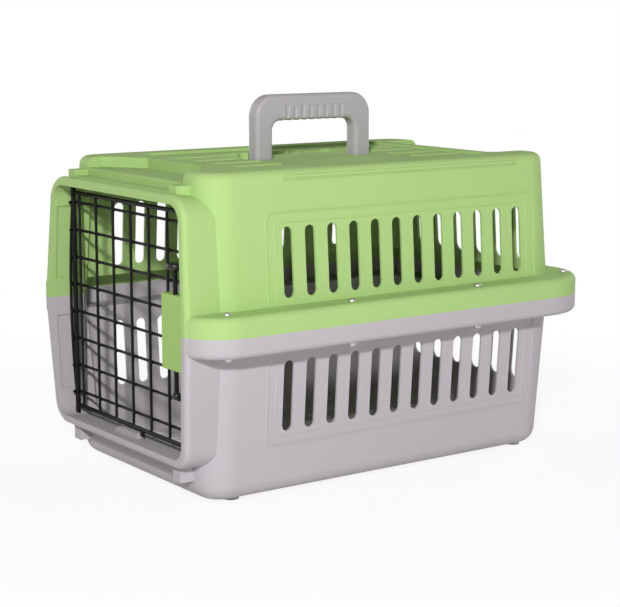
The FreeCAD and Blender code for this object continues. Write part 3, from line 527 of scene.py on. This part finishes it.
def makeRoofRibs(look):
    tree, flow, given = newTree(
        "roofRibTree", look, "halfLength", "halfWidth", "heightShare", "tipShare", "steps", "sides")
    half, width = given.other("halfLength"), given.other("halfWidth")
    run = straightRun(flow, half, given.other("steps"))
    past = flow.maths("MAXIMUM", flow.maths("ABSOLUTE", alongRun(flow)) - (half - width), 0.0) / width
    taper = flow.maths("SQRT", flow.maths("MAXIMUM", 1.0 - past * past, given.other("tipShare")))
    run = flow.node("GeometryNodeSetCurveRadius", None, {"Curve": run, "Radius": taper})
    rib = tubeOf(flow, run, given.other("sides"), width)
    size = flow.vector(1.0, 1.0, given.other("heightShare"))
    closeTree(flow, copiesOf(flow, rib, given.other("Geometry"), {"Scale": size}), finishes["green_shell"])
    obj = pointCloud("roofRibs", [(x, y, look["trayTop"]) for x in look["columns"] for y in look["rows"]])
    runTree(obj, tree, look)
    smoothFaces(obj)
    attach(obj, "crate")
    return obj


roof = makeRoofRibs(roofRibs)
print("roof ribs:", len(roof.data.polygons), "faces")


def barCutter(name, size, middle):
    made = bmesh.new()
    bmesh.ops.create_cube(made, size=1.0)
    bmesh.ops.scale(made, vec=size, verts=made.verts)
    bmesh.ops.translate(made, vec=middle, verts=made.verts)
    return objectOf(name, meshOf(name, made))


def cutAway(obj, cutters):  # the mesh that is left; the cutters are used up
    for cutter in cutters:
        cut = obj.modifiers.new("cut", "BOOLEAN")
        cut.operation, cut.solver, cut.object = "DIFFERENCE", "EXACT", cutter
    mesh = evaluatedMesh(obj)
    obj.modifiers.clear()
    for cutter in cutters:
        bpy.data.objects.remove(cutter)
    return mesh


# Shells with their front ledges cut back between the end tabs, as lugs at the portal's corners
ledgeCuts = {
    "sharpAngle": math.radians(28), "sameVertex": 1e-6,
    "top_shell": {
        "name": "topShellTabs", "low": (-0.086, -0.2175, 0.2747), "high": (0.086, -0.2010, 0.2830)},
    "base_shell": {
        "name": "baseShellTabs", "low": (-0.086, -0.2175, 0.0200), "high": (0.086, -0.2035, 0.0350)},
}


def makeTabbedShell(look, node):
    cut, slot = look[node], slots[node]
    made = bmesh.new()
    made.from_mesh(nodes[node].data)
    bmesh.ops.remove_doubles(made, verts=made.verts, dist=look["sameVertex"])
    mesh = meshOf(cut["name"], made)
    kept = mesh.attributes.get("custom_normal")
    if kept:  # the node's own normals don't fit the cut mesh
        mesh.attributes.remove(kept)
    shell = objectOf(cut["name"], mesh)
    low, high = Vector(cut["low"]), Vector(cut["high"])
    shell.data = cutAway(shell, [barCutter("ledgeCutter", high - low, (low + high) / 2)])
    smoothFaces(shell)
    shell.data.set_sharp_from_angle(angle=look["sharpAngle"])
    even = shell.modifiers.new("evenNormals", "WEIGHTED_NORMAL")
    even.keep_sharp = True
    dress(shell.data, slot)
    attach(shell, "crate")
    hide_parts(node)
    return shell


for shellNode in ("top_shell", "base_shell"):
    tabbed = makeTabbedShell(ledgeCuts, shellNode)
    print("tabbed", shellNode, len(tabbed.data.polygons), "faces")


# Fine raised beads round the vent panels, laid on the shell walls
panelBeads = {
    "radius": 0.0009, "sunk": 0.0004, "sides": 16, "corner": 0.009, "stepLength": 0.004, "arcSteps": 6,
    "insets": (-0.0012, 0.0085), "halfSpan": 0.15325, "middle": 0.0112, "farShift": 0.027, "outside": 0.3,
    "top_shell": {"name": "upperPanelBeads", "rim": 0.1752, "end": 0.254},
    "base_shell": {"name": "lowerPanelBeads", "rim": 0.1368, "end": 0.049},
}


def panelPath(look, panel, inset):  # from the rim to the panel's end, across and back to the rim
    way = 1 if panel["end"] > panel["rim"] else -1
    half, end, corner = look["halfSpan"] - inset, panel["end"] - way * inset, look["corner"] - inset / 2
    rises = int((abs(end - panel["rim"]) - corner) / look["stepLength"])
    path = [(-half, panel["rim"] + way * k * look["stepLength"]) for k in range(rises + 1)]
    for k in range(look["arcSteps"] + 1):
        angle = math.pi / 2 * k / look["arcSteps"]
        path.append((-half + corner * (1 - math.cos(angle)), end - way * corner * (1 - math.sin(angle))))
    steps = int((half - corner) / look["stepLength"])
    path += [(-(half - corner) * (1 - k / steps), end) for k in range(1, steps + 1)]
    return path + [(-y, z) for y, z in reversed(path[:-1])]


def wallRuns(look, paths, node):  # the paths of (y, z) laid on the near wall, then on the far one
    made = bmesh.new()
    made.from_mesh(nodes[node].data)
    wall = BVHTree.FromBMesh(made)
    made.free()
    points, edges = [], []
    for side, shift in ((1, 0.0), (-1, -look["farShift"])):
        for path in paths:
            first = len(points)
            for y, z in path:
                start = Vector((side * look["outside"], look["middle"] + shift + y, z))
                place = wall.ray_cast(start, Vector((-side, 0, 0)))[0]
                if place:
                    points.append(place - Vector((side * look["sunk"], 0, 0)))
            edges += [(k, k + 1) for k in range(first, len(points) - 1)]
    return points, edges


def makeBeads(name, look, paths, node, slot):
    tree, flow, given = newTree(name + "Tree", look, "radius", "sides")
    run = flow.node("GeometryNodeMeshToCurve", None, {"Mesh": given.other("Geometry")})
    closeTree(flow, tubeOf(flow, run, given.other("sides"), given.other("radius")), finishes[slot])
    obj = pointCloud(name, *wallRuns(look, paths, node))
    runTree(obj, tree, look)
    smoothFaces(obj)
    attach(obj, "crate")
    return obj


for beadNode, beadSlot in (("top_shell", "green_shell"), ("base_shell", "grey_shell")):
    panel = panelBeads[beadNode]
    outlines = [panelPath(panelBeads, panel, inset) for inset in panelBeads["insets"]]
    beads = makeBeads(panel["name"], panelBeads, outlines, beadNode, beadSlot)
    print("panel beads:", len(beads.data.polygons), "faces")


# Rounded ridge over the shoulder line, under the roof's edge
shoulderRidge = {
    "radius": 0.0018, "sunk": 0.0010, "sides": 16, "middle": 0.0112, "farShift": 0.0, "outside": 0.3,
    "height": 0.2845, "halfLength": 0.133, "steps": 60,
}


def ridgePath(look):
    shares = [2 * k / look["steps"] - 1 for k in range(look["steps"] + 1)]
    return [(look["halfLength"] * share, look["height"]) for share in shares]


ridge = makeBeads("shoulderRidges", shoulderRidge, [ridgePath(shoulderRidge)], "top_shell", "green_shell")
print("shoulder ridges:", len(ridge.data.polygons), "faces")


# Pan-head rim screws with a cross recess and a rolled thread; the profile is in shares of radius and height
rimScrews = {
    "headRadius": 0.004, "headHeight": 0.0024, "root": 0.00165, "crest": 0.0020, "pitch": 0.0008,
    "sides": 24, "headProfile": ((0.5, 0.985), (0.78, 0.88), (0.93, 0.62), (1.0, 0.25), (1.0, 0.0)),
    "crossWidth": 0.0010, "crossLength": 0.0046, "crossDepth": 0.0014, "intoHead": 0.0002, "apart": 0.012,
    "turn": math.pi, "seed": 4,
}


def ringPoint(radius, share, height):  # a point on a level ring, at a share of the way round
    return radius * math.cos(2 * math.pi * share), radius * math.sin(2 * math.pi * share), height


def screwHead(look, base):
    sides = look["sides"]
    made = bmesh.new()
    rings = []
    for across, up in look["headProfile"]:
        radius, height = look["headRadius"] * across, base + look["headHeight"] * up
        rings.append([made.verts.new(ringPoint(radius, k / sides, height)) for k in range(sides)])
    for upper, lower in zip(rings, rings[1:]):
        for k in range(sides):
            made.faces.new((upper[k], lower[k], lower[(k + 1) % sides], upper[(k + 1) % sides]))
    crown = made.verts.new((0, 0, base + look["headHeight"]))
    for k in range(sides):
        made.faces.new((crown, rings[0][k], rings[0][(k + 1) % sides]))
    made.faces.new(list(reversed(rings[-1])))
    bmesh.ops.recalc_face_normals(made, faces=made.faces)
    return made


def screwShank(look, low, high):
    made = bmesh.new()
    sides, rows = look["sides"], int((high - low) / (look["pitch"] / 2)) - 1
    grid = {}
    for k in range(sides):
        for row in range(rows + (2 if k == 0 else 0)):
            radius = look["crest"] if row % 2 else look["root"]
            rise = low + look["pitch"] * (row / 2 + k / sides)
            grid[k, row] = made.verts.new(ringPoint(radius, k / sides, min(rise, high)))
    last = sides - 1
    for row in range(rows - 1):
        for k in range(last):
            made.faces.new((grid[k, row], grid[k + 1, row], grid[k + 1, row + 1], grid[k, row + 1]))
        # the thread steps up one turn where the round closes
        made.faces.new((grid[last, row], grid[0, row + 2], grid[0, row + 3], grid[last, row + 1]))
    for row, level in ((0, low), (rows - 1, high)):
        loop = [grid[k, row] for k in range(sides)] + [grid[0, row + 2], grid[0, row + 1]]
        middle = made.verts.new((0, 0, level))
        for one, two in zip(loop, loop[1:] + loop[:1]):
            made.faces.new((middle, one, two))
    bmesh.ops.recalc_face_normals(made, faces=made.faces)
    return made


def screwPattern(look, low, high):
    base = high - look["headHeight"]
    head = objectOf("screwHead", meshOf("screwHead", screwHead(look, base)))
    long, wide, deep = look["crossLength"], look["crossWidth"], 2 * look["crossDepth"]
    bars = [barCutter("crossBar", size, (0, 0, high)) for size in ((long, wide, deep), (wide, long, deep))]
    both = bmesh.new()
    both.from_mesh(cutAway(head, bars))
    both.from_mesh(meshOf("screwShank", screwShank(look, low, base + look["intoHead"])))
    bpy.data.objects.remove(head)
    return objectOf("screwPattern", meshOf("screwPattern", both))


def screwPlaces(look, node):  # the middle of each group of vertices that are near each other in plan
    groups = []
    for vertex in nodes[node].data.vertices:
        spot = Vector((vertex.co.x, vertex.co.y, 0.0))
        near = [group for group in groups if (group[0] - spot).length < look["apart"]]
        if near:
            near[0].append(spot)
        else:
            groups.append([spot])
    middles = []
    for group in groups:
        xs, ys = [p.x for p in group], [p.y for p in group]
        middles.append(Vector(((min(xs) + max(xs)) / 2, (min(ys) + max(ys)) / 2, 0.0)))
    return middles


def makeRimScrews(look):
    low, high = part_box("rim_screws")
    values = {**look, "screw": screwPattern(look, low.z, high.z)}
    tree, flow, given = newTree("rimScrewTree", values, "screw", "turn", "seed")
    screw = flow.node("GeometryNodeObjectInfo", None, {"Object": given.other("screw")}, out="Geometry")
    turn = flow.node("FunctionNodeRandomValue", {"data_type": "FLOAT"}, {
        "Max": given.other("turn"), "Seed": given.other("seed")}, out=1)
    placed = copiesOf(flow, screw, given.other("Geometry"), {"Rotation": flow.vector(z=turn)})
    closeTree(flow, placed, finishes["zinc_screws"])
    obj = pointCloud("rimScrewHeads", screwPlaces(look, "rim_screws"))
    runTree(obj, tree, values)
    bpy.data.objects.remove(values["screw"])
    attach(obj, "crate")
    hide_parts("rim_screws")
    return obj


screws = makeRimScrews(rimScrews)
print("rim screws:", len(screws.data.polygons), "faces")


# White surround and pale floor; the key lamp is small, so that the door wires cast clear shadows
studio = {
    "white": (1, 1, 1, 1), "world": 0.15, "mirrored": 0.3, "floor": 0.88, "floorReach": 6.0,
    "floorGlow": 0.89, "fadeFrom": 0.30, "fadeTo": 0.75, "lampTarget": (0, 0, 0.16),
    "lamps": {
        "keyLight": {"place": (1.75, -1.45, 1.15), "size": (0.14, 0.14), "power": 47.0},
        "sideLight": {"place": (2.4, 0.3, 0.24), "size": (1.4, 1.2), "power": 11.0},
        "fillLight": {"place": (-2.4, -0.3, 0.7), "size": (1.4, 1.2), "power": 26.0},
        "backLight": {"place": (-0.6, 2.4, 0.7), "size": (1.4, 1.2), "power": 26.0},
    },
}


def placeAimed(name, data, place, target):
    obj = objectOf(name, data)
    obj.location = place
    obj.rotation_euler = (Vector(target) - obj.location).to_track_quat("-Z", "Y").to_euler()
    return obj


def seenDirectly(flow, mirrored=1.0):  # mirrored is the share that reflections see
    rays = flow.node("ShaderNodeLightPath", out="Is Camera Ray")
    return flow.maths("MAXIMUM", rays, flow.maths(
        "MAXIMUM", rays.other("Is Glossy Ray") * mirrored, rays.other("Is Transmission Ray")))


def makeWorld(look):
    world = bpy.data.worlds.new("studioWorld")
    world.use_nodes = True
    world.node_tree.nodes.clear()
    flow = Flow(world.node_tree)
    strength = look["world"] + (1.0 - look["world"]) * seenDirectly(flow, look["mirrored"])
    glow = flow.node("ShaderNodeBackground", None, {"Color": look["white"], "Strength": strength})
    flow.node("ShaderNodeOutputWorld", None, {"Surface": glow})
    bpy.context.scene.world = world


def makeFloor(look):
    reach = look["floorReach"]
    mesh = bpy.data.meshes.new("floor")
    mesh.from_pydata([(-reach, -reach, 0), (reach, -reach, 0), (reach, reach, 0), (-reach, reach, 0)],
                     [], [(0, 1, 2, 3)])
    floor = objectOf("floor", mesh)
    material, flow = newFinish("paleFloor")
    matte = flow.node("ShaderNodeBsdfDiffuse", None, {"Color": (look["floor"],) * 3 + (1.0,)})
    glow = flow.node("ShaderNodeEmission", None, {"Color": look["white"], "Strength": 1.0})
    away = flow.node("ShaderNodeVectorMath", {"operation": "LENGTH"}, {0: objectPlace(flow)}, out="Value")
    faded = away.between(look["fadeFrom"], look["fadeTo"])  # only the shadow near the crate is left
    glowing = look["floorGlow"] + (1.0 - look["floorGlow"]) * faded
    both = flow.node("ShaderNodeMixShader", None, {0: glowing * seenDirectly(flow), 1: matte, 2: glow})
    flow.node("ShaderNodeOutputMaterial", None, {"Surface": both})
    mesh.materials.append(material)


def makeLamps(look):
    for name, lamp in look["lamps"].items():
        data = bpy.data.lights.new(name, "AREA")
        data.shape, data.energy = "RECTANGLE", lamp["power"]
        data.size, data.size_y = lamp["size"]
        placeAimed(name, data, lamp["place"], look["lampTarget"])


bpy.context.scene.view_settings.view_transform = "Standard"
makeWorld(studio)
makeFloor(studio)
makeLamps(studio)

photoCamera = {
    "place": (1.3012, -0.9282, 0.4210), "target": (0.0945, -0.0745, 0.1657), "lens": 96.76, "sensor": 36.0,
}


def makeCamera(look):
    data = bpy.data.cameras.new("photoCamera")
    data.sensor_fit, data.sensor_width, data.lens = "HORIZONTAL", look["sensor"], look["lens"]
    bpy.context.scene.camera = placeAimed("photoCamera", data, look["place"], look["target"])


makeCamera(photoCamera)
print("studio and camera ready")

bpy.context.view_layer.update()
